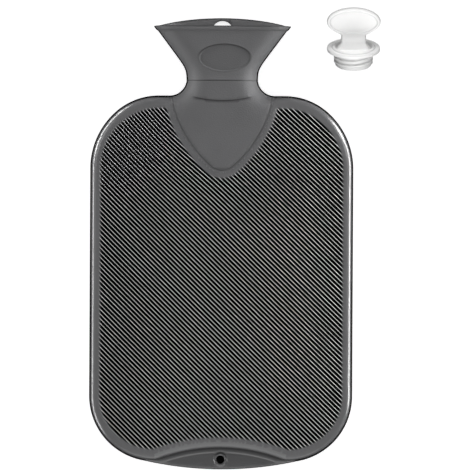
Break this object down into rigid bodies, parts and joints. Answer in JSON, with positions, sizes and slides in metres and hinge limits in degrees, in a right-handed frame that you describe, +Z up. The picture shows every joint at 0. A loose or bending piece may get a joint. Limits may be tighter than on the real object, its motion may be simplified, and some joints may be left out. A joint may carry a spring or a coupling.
{
  "type": "hot water bottle",
  "caption": "Flat flexible hot water bottle with slanted ribs, flared filling funnel with a hanging hole, and its screw stopper lying loose beside it.",
  "frame": {"origin": "centre of the flat back of the bag, on the surface it lies on", "axes": "+X across the bottle towards the loose stopper's side, +Y from the foot to the funnel mouth, +Z up out of the ribbed front"},
  "size_m": [0.2212, 0.3521, 0.0465],
  "materials": {
    "bottle_pvc": "semi-gloss, fine moulded grain",
    "stopper_white": "satin"
  },
  "bodies": {
    "root": {"bottle": "bottle_pvc", "stopper": "stopper_white"}
  },
  "joints": []
}
